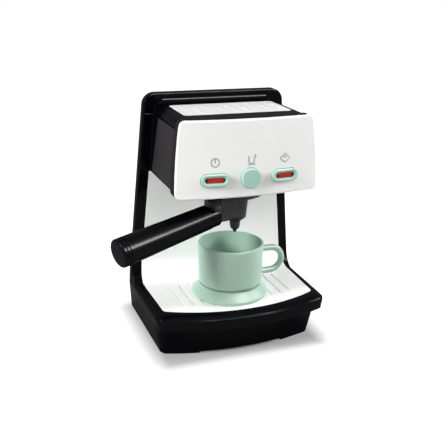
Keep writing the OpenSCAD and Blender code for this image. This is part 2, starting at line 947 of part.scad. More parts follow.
module oblong_button(s) {
    b = 1.2;
    color(mint)
        on_face(s * oblong_x, button_z)
            difference() {
                union() {
                    translate([0, 0, -barrel_in])
                        linear_extrude(barrel_in + proud_oblong - b)
                            stadium(oblong_l, oblong_h);
                    hull() {
                        translate([0, 0, proud_oblong - b - 0.02])
                            linear_extrude(0.02)
                                stadium(oblong_l, oblong_h);
                        translate([0, 0, proud_oblong - 0.35])
                            linear_extrude(0.02)
                                stadium(oblong_l - 0.7, oblong_h - 0.7);
                        translate([0, 0, proud_oblong])
                            linear_extrude(0.02)
                                stadium(oblong_l - 2.2, oblong_h - 2.2);
                    }
                    // ears that hold the button behind the fascia
                    for (e = [-1, 1])
                        translate([e * (oblong_l / 2) - 1.4, -2, ear_w - 1.6])
                            cube([2.8, 4, 1.6]);
                    translate([0, 0, -barrel_in - 16])
                        cylinder(h = 17, r = stem_rad);
                }
                // sloping well round the window
                hull() {
                    translate([0, 0, proud_oblong + 0.1])
                        linear_extrude(0.02)
                            stadium(window_l + 3.6, window_h + 3.6);
                    translate([0, 0, proud_oblong - 1.4])
                        linear_extrude(0.02)
                            stadium(window_l + 0.4, window_h + 0.4);
                }
                translate([0, 0, proud_oblong - 3.5])
                    linear_extrude(3)
                        stadium(window_l + 0.2, window_h + 0.2);
                // hollow underside
                difference() {
                    translate([0, 0, -barrel_in - 1])
                        linear_extrude(barrel_in + proud_oblong - 4.4)
                            stadium(oblong_l - 3, oblong_h - 3);
                    translate([0, 0, -barrel_in - 2])
                        cylinder(h = barrel_in + 6, r = stem_rad);
                    translate([0, 0, -barrel_in + 2])
                        cylinder(h = barrel_in + 6, r = stem_rad + 1.6);
                }
            }
}

module window(s) {
    color(red)
        on_face(s * oblong_x, button_z)
            translate([0, 0, proud_oblong - 3.4])
                linear_extrude(2)
                    stadium(window_l, window_h);
}

module power_button() { oblong_button(-1); }
module steam_button() { oblong_button(1); }
module power_window() { window(-1); }
module steam_window() { window(1); }

module brew_button() {
    e = 1.6;
    r = round_d / 2;
    color(mint)
        on_face(0, button_z) {
            rotate_extrude($fn = 96)
                difference() {
                    union() {
                        translate([0, -barrel_in])
                            square([r, barrel_in + proud_round - e]);
                        translate([0, -barrel_in])
                            square([r - e, barrel_in + proud_round]);
                        translate([r - e, proud_round - e])
                            circle(r = e, $fn = 32);
                        translate([0, -barrel_in - 16])
                            square([stem_rad, 17]);
                    }
                    translate([-5, -big / 2])
                        square([5, big]);
                    translate([stem_rad + 1.6, -barrel_in - 1])
                        square([r - 1.8 - stem_rad - 1.6, barrel_in + 2]);
                }
            for (s = [-1, 1])
                translate([s * r - 1.4, -2, ear_w - 1.6])
                    cube([2.8, 4, 1.6]);
        }
}

// compression spring: a round wire swept along a coil with closed ends
module coil(r, wire, len, turns) {
    seg = 14;
    sides = 6;
    steps = turns * seg;
    function lift(k) =
        let (t = k / steps, e = 0.14)
            t < e ? t / e * wire * 1.6 / len
            : t > 1 - e ? 1 - (1 - t) / e * wire * 1.6 / len
            : wire * 1.6 / len + (t - e) / (1 - 2 * e) * (1 - 3.2 * wire / len);
    pts = [
        for (k = [0 : steps], j = [0 : sides - 1])
            let (a = 360 * k / seg, b = 360 * j / sides, h = wire + lift(k) * (len - 2 * wire))
                [(r + wire * cos(b)) * cos(a), (r + wire * cos(b)) * sin(a), h + wire * sin(b)]
    ];
    faces = [
        [for (j = [0 : sides - 1]) j],
        [for (j = [sides - 1 : -1 : 0]) steps * sides + j],
        for (k = [0 : steps - 1], j = [0 : sides - 1])
            let (n = (j + 1) % sides)
                [k * sides + j, (k + 1) * sides + j, (k + 1) * sides + n, k * sides + n]
    ];
    polyhedron(pts, faces, convexity = 6);
}

// the spring stands on the carrier and ends just under the button
module spring(x, end) {
    start = carrier_w + bow(x) + (x == 0 ? 0.1 : 0.5);
    color(steel)
        on_face(x, button_z)
            translate([0, 0, start])
                coil(stem_rad + 1.05, 0.45, end - 0.1 - start, 4);
}
module power_spring() { spring(-oblong_x, 2 - barrel_in); }
module steam_spring() { spring(oblong_x, 2 - barrel_in); }
module brew_spring() { spring(0, -barrel_in); }

// ---------- group and portafilter ----------

module on_brew_axis() {
    translate([0, -brew_y, 0])
        children();
}

ledge_z = head_z0 - 3;
ledge_t = 2.1;
cavity_z = head_z0 + 2.3;
roof_z = cavity_z + 1.3;
lug_n = 3;
lug_half = 11;
lug_z = ledge_z + ledge_t + 0.4;
lug_t = 2.3;
lug_r = bowl_r + 2.6;

// ring sector used for lugs and gates
module sector(r0, r1, a, h) {
    rotate([0, 0, -a])
        rotate_extrude(angle = 2 * a, $fn = 128)
            translate([r0, 0])
                square([r1 - r0, h]);
}

module group_ring() {
    color(charcoal)
        on_brew_axis()
            difference() {
                union() {
                    translate([0, 0, ledge_z])
                        cylinder(h = roof_z - ledge_z, r = group_r, $fn = 128);
                    translate([0, 0, head_z0 + 2.5])
                        cylinder(h = roof_z - head_z0 - 2.5, r = group_r + 1.2, $fn = 128);
                }
                // lug channel
                translate([0, 0, ledge_z + ledge_t])
                    cylinder(h = cavity_z - ledge_z - ledge_t, r = lug_r + 0.4, $fn = 128);
                // mouth
                translate([0, 0, ledge_z - 1])
                    cylinder(h = ledge_t + 2, r = bowl_r + 0.5, $fn = 128);
                // gates that let the lugs in
                for (i = [0 : lug_n - 1])
                    rotate([0, 0, 360 * i / lug_n + 90])
                        translate([0, 0, ledge_z - 1])
                            sector(bowl_r - 1, lug_r + 0.3, lug_half + 2, ledge_t + 2);
                // shower holes
                for (i = [0 : 5])
                    rotate([0, 0, 60 * i])
                        translate([11, 0, ledge_z])
                            cylinder(h = 30, r = 1.2);
                translate([0, 0, ledge_z])
                    cylinder(h = 30, r = 1.6);
            }
}

insert_r = bowl_r - wall - 0.3;
bowl_top = lug_z + lug_t;

module filter_insert() {
    color(steel)
        on_brew_axis()
            difference() {
                translate([0, 0, bowl_z + wall + 0.3])
                    cylinder(h = bowl_top - bowl_z - wall - 0.4, r = insert_r, $fn = 96);
                translate([0, 0, bowl_z + wall + 1.5])
                    cylinder(h = 20, r = insert_r - 1.3, $fn = 96);
                for (i = [0 : 7])
                    rotate([0, 0, 45 * i])
                        translate([12, 0, bowl_z])
                            cylinder(h = 10, r = 1);
                translate([0, 0, bowl_z])
                    cylinder(h = 10, r = 1);
            }
}

// handle frame: origin at the inner end of the grip, +Z along the grip
grip_out = 26.6;
grip_z = 141.2;
collar_l = 9;
flat_top = 7;
module on_handle() {
    on_brew_axis()
        rotate([0, 0, 180 + 90 - handle_turn])
            translate([grip_out, 0, grip_z])
                rotate([0, 90 + handle_droop, 0])
                    children();
}

cone_z = stem_z - 4;
arm_w = 10.6;
arm_l = grip_out + 6.4;
arm_c = 3.5;
spigot_r = 4.6;

// arm in plan, its outer corners rounded
module arm_plan() {
    translate([4, -arm_w])
        square([arm_l - arm_c - 4, 2 * arm_w]);
    translate([4, -arm_w + arm_c])
        square([arm_l - 4, 2 * (arm_w - arm_c)]);
    for (s = [-1, 1])
        translate([arm_l - arm_c, s * (arm_w - arm_c)])
            circle(r = arm_c, $fn = 32);
}

// round with a flat on its upper side, in the handle frame
module flat_round(r, grow) {
    intersection() {
        circle(r = r, $fn = 96);
        translate([-flat_top - grow, -big / 2])
            square(big);
    }
}

module portafilter_body() {
    color(charcoal) {
        on_brew_axis() {
            rotate_extrude($fn = 128)
                difference() {
                    union() {
                        polygon([
                            [0, cone_z], [6.2, cone_z], [stem_r - 2.2, stem_z], [stem_r, bowl_z - 1.4],
                            [bowl_r - 4, bowl_z - 1.4], [bowl_r - 1.2, bowl_z], [bowl_r, bowl_z + 1.2],
                            [bowl_r, bowl_top], [0, bowl_top]
                        ]);
                    }
                    translate([0, bowl_z + wall])
                        square([bowl_r - wall, 40]);
                    translate([0, cone_z - 1])
                        square([2.2, 60]);
                }
            for (i = [0 : lug_n - 1])
                rotate([0, 0, 360 * i / lug_n + 90])
                    translate([0, 0, lug_z])
                        sector(bowl_r - 1, lug_r, lug_half, lug_t);
        }
        difference() {
            union() {
                // arm between the stem and the grip, reaching over the flat of its inner end
                difference() {
                    on_brew_axis()
                        rotate([0, 0, 180 + 90 - handle_turn])
                            translate([0, 0, cone_z])
                                linear_extrude(bowl_z - 0.4 - cone_z)
                                    arm_plan();
                    on_handle()
                        translate([0, 0, -seat])
                            linear_extrude(40)
                                flat_round(grip_r1 - 0.2 + seat, seat);
                }
                on_handle()
                    translate([0, 0, -6])
                        cylinder(h = 28, r = spigot_r);
            }
            on_brew_axis()
                translate([0, 0, cone_z - 40])
                    cylinder(h = 100, r = 3.4);
        }
        on_brew_axis()
            translate([0, 0, cone_z])
                difference() {
                    cylinder(h = bowl_z - cone_z, r = 5);
                    translate([0, 0, -1])
                        cylinder(h = 60, r = 2.2);
                }
    }
}

module spout_nozzle() {
    color(charcoal)
        on_brew_axis()
            rotate_extrude($fn = 96)
                difference() {
                    polygon([
                        [0, tip_z], [1.4, tip_z], [2.4, tip_z + 2.6], [4.1, tip_z + 3.8], [4.8, tip_z + 5.2],
                        [5.8, cone_z - 0.1],
                        [2, cone_z - 0.1], [2, cone_z + 6], [0, cone_z + 6]
                    ]);
                    translate([0, tip_z - 1])
                        square([0.9, 60]);
                }
}

module handle_grip() {
    color(black)
        on_handle()
            difference() {
                union() {
                    translate([0, 0, collar_l])
                        rotate_extrude($fn = 96)
                            polygon([
                                [0, 0], [grip_r1 - 0.5, 0], [grip_r1 + 0.1, 0.7],
                                [grip_r2, grip_l - collar_l], [0, grip_l - collar_l]
                            ]);
                    linear_extrude(collar_l + 1)
                        flat_round(grip_r1 - 0.2, 0);
                }
                translate([0, 0, -1])
                    cylinder(h = 24.2, r = spigot_r + 0.1);
                translate([0, 0, 34])
                    cylinder(h = grip_l, r = grip_r1 - 2.6);
            }
}

module handle_cap() {
    r = grip_r2;
    color(black)
        on_handle()
            translate([0, 0, grip_l])
                rotate_extrude($fn = 96)
                    difference() {
                        union() {
                            translate([0, -12])
                                square([grip_r1 - 2.7, 14]);
                            polygon([
                                [0, 0.1], [r - 0.8, 0.1], [r, 0.8], [r, 3], [r - 0.7, 3.4], [r - 0.7, 3.8],
                                [r, 4.2], [r, 5.6], [r - 2, 7.6], [r - 4, 8], [0, 8]
                            ]);
                            translate([r - 2, 5.6])
                                circle(r = 2, $fn = 32);
                        }
                        translate([-5, -20])
                            square([5, 40]);
                        translate([0, -13])
                            square([grip_r1 - 5, 14.5]);
                    }
}

// ---------- cup and saucer ----------

cup_x = -2;
cup_y = -23.5;
well_z = tray_z + saucer_h - 4.4;
foot_r = min(cup_foot_r, cup_r - 4.1);
well_r = foot_r + 0.6;
cup_z = well_z + 0.1;

module at_cup() {
    translate([cup_x, cup_y, 0])
        children();
}

module saucer() {
    z0 = tray_z + 0.05;
    lip_z = tray_z + saucer_h;
    color(mint)
        at_cup()
            difference() {
                rotate_extrude($fn = 128)
                    difference() {
                        union() {
                            polygon([
                                [0, z0], [saucer_r - 1.2, z0], [saucer_r, z0 + 2.4], [saucer_r, z0 + 3.6],
                                [saucer_r - 0.7, z0 + 4.3], [well_r + 2.4, lip_z - 1.6],
                                [well_r + 2, lip_z - 0.4], [well_r + 1.5, lip_z], [0, lip_z]
                            ]);
                        }
                        translate([0, well_z])
                            square([well_r, 20]);
                        // hollow underside
                        polygon([
                            [0, z0 - 1], [saucer_r - 3.4, z0 - 1], [saucer_r - 3.2, z0 + 2],
                            [well_r - 0.2, well_z - 1.8], [0, well_z - 1.8]
                        ]);
                    }
                // four notches under the edge
                for (i = [0 : 3])
                    rotate([0, 0, 90 * i + 45])
                        translate([saucer_r - 5, -2, z0 - 1])
                            cube([10, 4, 2.4]);
            }
}

cup_low = tray_z + 18.5;
function cup_out(z) = cup_r - cup_taper * (tray_z + cup_h - z) / (tray_z + cup_h - cup_low);
cup_wall = 2.2;
cup_floor = cup_z + 3;

module cup() {
    top = tray_z + cup_h;
    mid = tray_z + 31.6;
    seg_x = cup_out(mid) + loop_straight;
    k = 3.2;
    foot_z = saucer_h + tray_z + 1.2;
    color(mint)
        at_cup()
            difference() {
                union() {
                    rotate_extrude($fn = 128)
                        union() {
                            polygon([
                                [0, cup_z + 1], [foot_r - 3, cup_z + 1], [foot_r - 2.4, cup_z],
                                [foot_r, cup_z], [foot_r, foot_z], [cup_out(foot_z) - k, foot_z],
                                [cup_out(foot_z + k), foot_z + k], [cup_out(top - 1.1), top - 1.1],
                                [0, top - 1.1]
                            ]);
                            translate([cup_out(foot_z + k) - k, foot_z + k])
                                circle(r = k, $fn = 64);
                            translate([cup_out(top - 1.1) - 1.1, top - 1.1])
                                circle(r = 1.1, $fn = 32);
                            translate([0, top - 2])
                                square([cup_out(top) - 1.1, 2]);
                        }
                    // handle loop
                    translate([seg_x, 0, mid])
                        rotate([90, 0, 0])
                            rotate([0, 0, -90])
                                rotate_extrude(angle = 180, $fn = 96)
                                    translate([loop_r, 0])
                                        circle(d = loop_t, $fn = 48);
                    for (s = [-1, 1])
                        translate([cup_r - 6, 0, mid + s * loop_r])
                            rotate([0, 90, 0])
                                cylinder(h = seg_x - cup_r + 6, d = loop_t, $fn = 48);
                }
                rotate_extrude($fn = 128)
                    polygon([
                        [0, cup_floor], [foot_r - cup_wall - 1, cup_floor],
                        [cup_out(foot_z + k) - cup_wall, foot_z + k],
                        [cup_out(top + 5) - cup_wall, top + 5], [0, top + 5]
                    ]);
            }
}

// ---------- parts ----------

base_shell();
base_plate();
splash_plate();
head_housing();
top_cover();
top_panel();
side_panel_left();
side_panel_right();
rear_cover();
housing_screws();
fascia();
button_carrier();
power_button();
power_window();
steam_button();
steam_window();
brew_button();
power_spring();
steam_spring();
brew_spring();
group_ring();
filter_insert();
portafilter_body();
spout_nozzle();
handle_grip();
handle_cap();
saucer();
cup();
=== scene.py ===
"""Toy espresso coffee maker: finishes, printed symbols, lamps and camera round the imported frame."""
import json
import math

import bmesh
import bpy
from mathutils import Matrix, Vector

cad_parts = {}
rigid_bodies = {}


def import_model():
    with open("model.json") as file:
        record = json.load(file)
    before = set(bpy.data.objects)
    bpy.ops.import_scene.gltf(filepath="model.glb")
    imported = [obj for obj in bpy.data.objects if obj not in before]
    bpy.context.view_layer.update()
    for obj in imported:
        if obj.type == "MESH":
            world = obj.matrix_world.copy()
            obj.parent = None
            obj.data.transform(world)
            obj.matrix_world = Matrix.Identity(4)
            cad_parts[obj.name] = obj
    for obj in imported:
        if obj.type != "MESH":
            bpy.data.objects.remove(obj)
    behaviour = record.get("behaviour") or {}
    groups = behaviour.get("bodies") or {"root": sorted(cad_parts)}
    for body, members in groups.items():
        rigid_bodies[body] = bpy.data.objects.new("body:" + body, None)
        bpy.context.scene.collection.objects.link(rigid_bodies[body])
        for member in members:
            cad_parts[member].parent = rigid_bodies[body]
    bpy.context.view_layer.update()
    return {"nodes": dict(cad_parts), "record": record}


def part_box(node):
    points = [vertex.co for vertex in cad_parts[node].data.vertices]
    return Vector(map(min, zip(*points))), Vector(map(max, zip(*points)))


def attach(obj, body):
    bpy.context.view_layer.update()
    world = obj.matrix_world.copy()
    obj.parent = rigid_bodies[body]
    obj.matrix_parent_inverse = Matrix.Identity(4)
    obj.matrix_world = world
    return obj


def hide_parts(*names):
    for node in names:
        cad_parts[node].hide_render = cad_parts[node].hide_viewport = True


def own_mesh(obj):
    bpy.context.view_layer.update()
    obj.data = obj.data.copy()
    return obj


MM = 0.001

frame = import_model()
nodes = frame["nodes"]


def placed(name, data):
    """A new object with the data, linked into the scene."""
    thing = bpy.data.objects.new(name, data)
    bpy.context.scene.collection.objects.link(thing)
    return thing


def add_node(tree, kind, **settings):
    """A new node in the tree, with its settings."""
    node = tree.nodes.new(kind)
    for name, value in settings.items():
        setattr(node, name, value)
    return node


# ---------- camera ----------

CAMERA_AT = Vector((-0.2662, -0.6865, 0.3758))
CAMERA_AIM = Vector((0.0099, 0.0280, 0.1056))
CAMERA_LENS = 59.7
SENSOR_WIDTH = 36
CAMERA_ROLL = math.radians(1.40)


def add_camera():
    """A camera at CAMERA_AT that looks at CAMERA_AIM, rolled by CAMERA_ROLL."""
    ahead = (CAMERA_AIM - CAMERA_AT).normalized()
    level = ahead.cross(Vector((0, 0, 1))).normalized()
    level_up = level.cross(ahead)
    right = math.cos(CAMERA_ROLL) * level + math.sin(CAMERA_ROLL) * level_up
    up = right.cross(ahead)
    data = bpy.data.cameras.new("camera")
    data.sensor_width = SENSOR_WIDTH
    data.sensor_fit = "HORIZONTAL"
    data.lens = CAMERA_LENS
    camera = placed("camera", data)
    turn = Matrix((right, up, -ahead)).transposed().to_4x4()
    camera.matrix_world = Matrix.Translation(CAMERA_AT) @ turn
    bpy.context.scene.camera = camera


# ---------- finishes ----------


class Finish:
    """A Principled material under construction, with the few node chains that the finishes share."""

    def __init__(self, name):
        self.material = bpy.data.materials.new(name)
        self.material.use_nodes = True
        self.tree = self.material.node_tree
        self.tree.nodes.clear()
        self.shader = self.add("ShaderNodeBsdfPrincipled")
        self.link(self.shader.outputs["BSDF"], self.add("ShaderNodeOutputMaterial").inputs["Surface"])
        self.place = self.add("ShaderNodeTexCoord").outputs["Object"]

    def add(self, kind, **settings):
        return add_node(self.tree, kind, **settings)

    def link(self, output, socket):
        self.tree.links.new(output, socket)

    def axes(self):
        """The X, Y and Z of the place on the object."""
        split = self.add("ShaderNodeSeparateXYZ")
        self.link(self.place, split.inputs["Vector"])
        return [split.outputs[axis] for axis in "XYZ"]

    def noise(self, size, detail=2.0, stretch=(1, 1, 1), rough=0.5):
        """Noise whose grain is about size metres across, drawn out by stretch."""
        mapping = self.add("ShaderNodeMapping")
        mapping.inputs["Scale"].default_value = [1 / (size * s) for s in stretch]
        self.link(self.place, mapping.inputs["Vector"])
        noise = self.add("ShaderNodeTexNoise")
        noise.inputs["Scale"].default_value = 1
        noise.inputs["Detail"].default_value = detail
        noise.inputs["Roughness"].default_value = rough
        self.link(mapping.outputs["Vector"], noise.inputs["Vector"])
        return noise.outputs["Fac"]

    def ranged(self, value, low, high, start=0.35, end=0.65):
        """Low where the value is start or less, high where it is end or more."""
        node = self.add("ShaderNodeMapRange")
        node.inputs["From Min"].default_value = start
        node.inputs["From Max"].default_value = end
        node.inputs["To Min"].default_value = low
        node.inputs["To Max"].default_value = high
        self.link(value, node.inputs["Value"])
        return node.outputs["Result"]

    def math(self, operation, a, b=None):
        """One Math node on sockets or numbers."""
        node = self.add("ShaderNodeMath", operation=operation)
        for socket, value in zip(node.inputs, (a, b)):
            if isinstance(value, (int, float)):
                socket.default_value = value
            elif value is not None:
                self.link(value, socket)
        return node.outputs["Value"]

    def blend(self, share, a, b):
        """Colour a where share is 0 and b where it is 1."""
        node = self.add("ShaderNodeMix", data_type="RGBA")
        share_socket, a_socket, b_socket = node.inputs[0], node.inputs[6], node.inputs[7]
        self.link(share, share_socket)
        for socket, value in ((a_socket, a), (b_socket, b)):
            if isinstance(value, tuple):
                socket.default_value = (*value, 1)
            else:
                self.link(value, socket)
        return node.outputs[2]

    def mottled(self, size, detail, tone, shade):
        """Colour that drifts between tone and shade in clouds of about size metres."""
        return self.blend(self.ranged(self.noise(size, detail), 0, 1), tone, shade)

    def colour(self, output):
        self.link(output, self.shader.inputs["Base Color"])

    def roughness(self, output):
        self.link(output, self.shader.inputs["Roughness"])

    def relief(self, *layers, edge):
        """Softens the edges by edge metres and adds bump layers of (height, depth in metres)."""
        bevel = self.add("ShaderNodeBevel", samples=6)
        bevel.inputs["Radius"].default_value = edge
        normal = bevel.outputs["Normal"]
        for height, depth in layers:
            bump = self.add("ShaderNodeBump")
            bump.inputs["Strength"].default_value = 1
            bump.inputs["Distance"].default_value = depth
            self.link(height, bump.inputs["Height"])
            self.link(normal, bump.inputs["Normal"])
            normal = bump.outputs["Normal"]
        self.link(normal, self.shader.inputs["Normal"])

    def gloss(self, specular):
        self.shader.inputs["Specular IOR Level"].default_value = specular

    def lacquer(self, weight, roughness):
        """A thin clear skin in place of the body's own shine, dark at every angle but the most grazing.
        It follows the relief, which comes first."""
        self.gloss(0)
        self.shader.inputs["Coat Weight"].default_value = weight
        self.shader.inputs["Coat Roughness"].default_value = roughness
        self.link(self.shader.inputs["Normal"].links[0].from_socket, self.shader.inputs["Coat Normal"])


CLOUD_SIZE = 60 * MM
HANDLED_SIZE = 18 * MM
HAIRLINE_SIZE = 0.9 * MM
HAIRLINE_STRETCH = (9, 1, 1.4)
PEEL_SIZE = 3.2 * MM
GRAIN_SIZE = 0.35 * MM


def moulded_plastic(name, colours, polish, peel, specular=0.0, lacquer=None, grain=0.0, edge=0.4):
    """Injection-moulded plastic that drifts between two colours and has its roughness between the two
    polish values, a long-wave orange peel of peel mm, a fine grain of grain mm and edges softened by
    edge mm. Lacquer is the weight and roughness of a clear skin in place of the specular shine."""
    f = Finish(name)
    f.colour(f.mottled(CLOUD_SIZE, 3, *colours))
    handled = f.noise(HANDLED_SIZE, 5, rough=0.6)
    hairlines = f.noise(HAIRLINE_SIZE, 2, stretch=HAIRLINE_STRETCH)
    wear = f.math("ADD", f.math("MULTIPLY", handled, 0.7), f.math("MULTIPLY", hairlines, 0.3))
    f.roughness(f.ranged(wear, *polish))
    layers = [(f.noise(PEEL_SIZE, 1), peel * MM)]
    if grain:
        layers.append((f.noise(GRAIN_SIZE, 2, rough=0.7), grain * MM))
    f.relief(*layers, edge=edge * MM)
    if lacquer:
        f.lacquer(*lacquer)
    else:
        f.gloss(specular)
    return f


BLACK = ((0.0014, 0.0015, 0.0022), (0.0020, 0.0021, 0.0030))
WHITE = ((0.870, 0.866, 0.856), (0.852, 0.848, 0.838))
# painted light: the same white plastic as WHITE, made lighter on the splash plate
LIT_TRAY_WHITE = ((0.935, 0.930, 0.920), (0.920, 0.915, 0.905))
# painted shade: the same white plastic as WHITE, made darker on the top panel
SHADED_COVER_WHITE = ((0.800, 0.796, 0.786), (0.780, 0.776, 0.766))
CHARCOAL = ((0.030, 0.028, 0.031), (0.024, 0.022, 0.025))
PANEL = ((0.023, 0.0215, 0.023), (0.0195, 0.018, 0.0195))
MINT = ((0.372, 0.533, 0.440), (0.352, 0.508, 0.418))
KEY_MINT = ((0.372, 0.567, 0.495), (0.354, 0.545, 0.475))
LENS_RED = ((0.42, 0.024, 0.010), (0.36, 0.020, 0.008))
# painted shade: the near-black colour laid on both ends of each red lens
LENS_PAINTED_SHADE = (0.012, 0.004, 0.004)
STEEL = ((0.60, 0.60, 0.59), (0.46, 0.47, 0.49))
INK_GREY = ((0.175, 0.168, 0.165), (0.205, 0.198, 0.194))

WHITE_POLISH = (0.30, 0.34)
BLACK_POLISH = (0.30, 0.40)
MINT_POLISH = (0.30, 0.40)

# shares of a lens's half length: plain red up to the first, full painted shade from the second
LENS_UNSHADED_SHARE = 0.66
LENS_PAINTED_SHADE_SHARE = 0.86
LENS_RIBS = 260


def red_lens(name, node):
    """Ribbed red lens whose colour falls off to a painted shade, near black, towards its two ends."""
    low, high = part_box(node)
    middle = (low.x + high.x) / 2
    half = (high.x - low.x) / 2
    f = Finish(name)
    from_middle = f.math("ABSOLUTE", f.math("SUBTRACT", f.axes()[0], middle))
    # painted shade: the colour darkens to near black towards both ends of the lens
    shaded_ends = f.ranged(from_middle, 0, 1, start=half * LENS_UNSHADED_SHARE, end=half * LENS_PAINTED_SHADE_SHARE)
    ribs = f.add("ShaderNodeTexWave", wave_type="BANDS", bands_direction="X", wave_profile="SIN")
    ribs.inputs["Scale"].default_value = LENS_RIBS
    f.link(f.place, ribs.inputs["Vector"])
    f.colour(f.blend(shaded_ends, f.mottled(5 * MM, 2, *LENS_RED), LENS_PAINTED_SHADE))
    f.roughness(f.ranged(f.noise(6 * MM, 3), 0.16, 0.26))
    f.relief((ribs.outputs["Fac"], 0.03 * MM), edge=0.25 * MM)
    f.gloss(0.16)
    return f


# the top of the fascia's front on the middle line, its lean, the radius of its bow, and how far behind the
# front its colour turns from white to black and from black to the grey of the side panels
FACE_TOP = Vector((0, -60.2, 239.7)) * MM
FACE_LEAN = math.tan(math.radians(4.71))
FACE_BOW = 430 * MM
FACE_DEPTH = 2.1 * MM
FACE_TURN = 0.2 * MM
JOINT_DEPTH = 3.6 * MM
JOINT_TURN = 0.3 * MM
FACE_SPECULAR = 0.12


def faced_plastic(name):
    """White face over a dark surround: the colour changes at FACE_DEPTH behind the bowed and leaning face."""
    f = moulded_plastic(name, WHITE, WHITE_POLISH, peel=0.004, specular=FACE_SPECULAR)
    x, y, z = f.axes()
    bow = f.math("DIVIDE", f.math("MULTIPLY", x, x), 2 * FACE_BOW)
    lean = f.math("MULTIPLY", f.math("SUBTRACT", z, FACE_TOP.z), FACE_LEAN)
    depth = f.math("SUBTRACT", f.math("SUBTRACT", f.math("SUBTRACT", y, FACE_TOP.y), lean), bow)
    behind = f.ranged(depth, 0, 1, start=FACE_DEPTH, end=FACE_DEPTH + FACE_TURN)
    past_joint = f.ranged(depth, 0, 1, start=JOINT_DEPTH, end=JOINT_DEPTH + JOINT_TURN)
    white = f.shader.inputs["Base Color"].links[0].from_socket
    surround = f.blend(past_joint, BLACK[0], PANEL[0])
    f.colour(f.blend(behind, white, surround))
    shine = f.ranged(behind, FACE_SPECULAR, 0, start=0, end=1)
    f.link(shine, f.shader.inputs["Specular IOR Level"])
    return f


def zinc_steel(name):
    """Bright zinc-plated steel."""
    f = Finish(name)
    f.colour(f.mottled(4 * MM, 3, *STEEL))
    f.shader.inputs["Metallic"].default_value = 1
    f.roughness(f.ranged(f.noise(1.2 * MM, 4), 0.22, 0.38))
    f.relief((f.noise(0.3 * MM, 2), 0.006 * MM), edge=0.15 * MM)
    return f


def printed_ink(name):
    """Thin pad-printed grey ink."""
    f = Finish(name)
    f.colour(f.mottled(0.8 * MM, 3, *INK_GREY))
    f.roughness(f.ranged(f.noise(0.5 * MM, 2), 0.45, 0.6))
    f.relief((f.noise(0.25 * MM, 2), 0.004 * MM), edge=0.05 * MM)
    return f


finishes = {
    "black": moulded_plastic(
        "black_gloss_plastic", BLACK, BLACK_POLISH, peel=0.004, lacquer=(0.07, 0.14), edge=1.6
    ),
    "grip_black": moulded_plastic(
        "grip_black_plastic", BLACK, BLACK_POLISH, peel=0.004, lacquer=(0.09, 0.24), edge=0.8
    ),
    # painted light: the splash plate's white is the fascia's white made lighter
    "lit_tray_white": moulded_plastic("tray_white_plastic", LIT_TRAY_WHITE, WHITE_POLISH, peel=0.004, specular=0.18),
    # painted shade: the top panel's white is the fascia's white made darker
    "shaded_cover_white": moulded_plastic(
        "cover_white_plastic", SHADED_COVER_WHITE, WHITE_POLISH, peel=0.004, specular=0.15
    ),
    "faced": faced_plastic("white_face_plastic"),
    "charcoal": moulded_plastic(
        "charcoal_satin_plastic", CHARCOAL, (0.34, 0.44), peel=0.008, lacquer=(0.3, 0.35), grain=0.008
    ),
    "panel": moulded_plastic(
        "side_panel_plastic", PANEL, (0.40, 0.50), peel=0.008, lacquer=(0.1, 0.4), grain=0.012
    ),
    "mint": moulded_plastic("mint_plastic", MINT, MINT_POLISH, peel=0.008, specular=0.20),
    "key_mint": moulded_plastic("key_mint_plastic", KEY_MINT, MINT_POLISH, peel=0.008, specular=0.15),
    "steel": zinc_steel("zinc_plated_steel"),
    "ink": printed_ink("printed_grey_ink"),
    "power_lens": red_lens("power_red_lens", "power_window"),
    "steam_lens": red_lens("steam_red_lens", "steam_window"),
}

NODE_FINISH = {
    "black": ("base_shell", "base_plate", "head_housing", "top_cover", "rear_cover"),
    "grip_black": ("handle_grip", "handle_cap"),
    "lit_tray_white": ("splash_plate",),
    "shaded_cover_white": ("top_panel",),
    "faced": ("fascia",),
    "charcoal": ("button_carrier", "group_ring", "filter_insert", "portafilter_body", "spout_nozzle"),
    "panel": ("side_panel_left", "side_panel_right"),
    "mint": ("saucer", "cup"),
    "key_mint": ("power_button", "steam_button", "brew_button"),
    "steel": ("housing_screws", "power_spring", "steam_spring", "brew_spring"),
    "power_lens": ("power_window",),
    "steam_lens": ("steam_window",),
}


def dress_nodes():
    """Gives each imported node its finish."""
    for finish, names in NODE_FINISH.items():
        for name in names:
            piece = nodes[name]
            if not piece.material_slots:
                piece.data.materials.append(None)
            for slot in piece.material_slots:
                slot.material = finishes[finish].material


# ---------- printed symbols over the buttons ----------

POWER_X = -35.0
CUP_X = 0.8
STEAM_X = 36.0
SYMBOL_Z = 200.6
SYMBOL_SCALE = 0.88
STROKE = 1.2
INK_DEPTH = 0.10
POINT_SPACING = 0.6
RAY_START = 200 * MM


def arc(cx, cz, r, start, end, n=16):
    """Points on an arc in the plane of the face, angles in degrees from +X."""
    angles = (math.radians(start + (end - start) * i / n) for i in range(n + 1))
    return [(cx + r * math.cos(a), cz + r * math.sin(a)) for a in angles]


def power_strokes():
    """A ring with a bar from its top to just past its middle."""
    ring = arc(0, 0, 4.5, 90, 450, 48)[:-1]
    bar = [(0, 4.2), (0, -0.6)]
    return [(ring, True), (bar, False)]


def cup_strokes():
    """A tall cup in outline over its foot line, with a curl of steam at its right."""
    left = [(-3.3, 5.0), (-2.9, -2.6)]
    right = [(3.3, 2.8), (2.9, -2.6)]
    bottom = [(-2.9, -2.6), (2.9, -2.6)]
    foot = [(-4.6, -4.2), (4.6, -4.2)]
    curl = arc(4.4, 2.8, 1.1, 180, 60, 10) + arc(3.8, 4.8, 1.1, -20, 110, 10)
    return [(stroke, False) for stroke in (left, right, bottom, foot, curl)]


def steam_strokes():
    """A three-lobed cloud that narrows to a point, with a small mark inside."""
    top_lobe = arc(0, 2.9, 1.8, -20, 200)
    left_lobe = arc(-3.2, 0, 2.0, 60, 240)
    right_lobe = arc(3.2, 0, 2.0, -60, 120)
    cloud = top_lobe + left_lobe + [(0, -4.6)] + right_lobe
    mark = [(0, 2.4), (0, -0.4)]
    return [(cloud, True), (mark, False)]


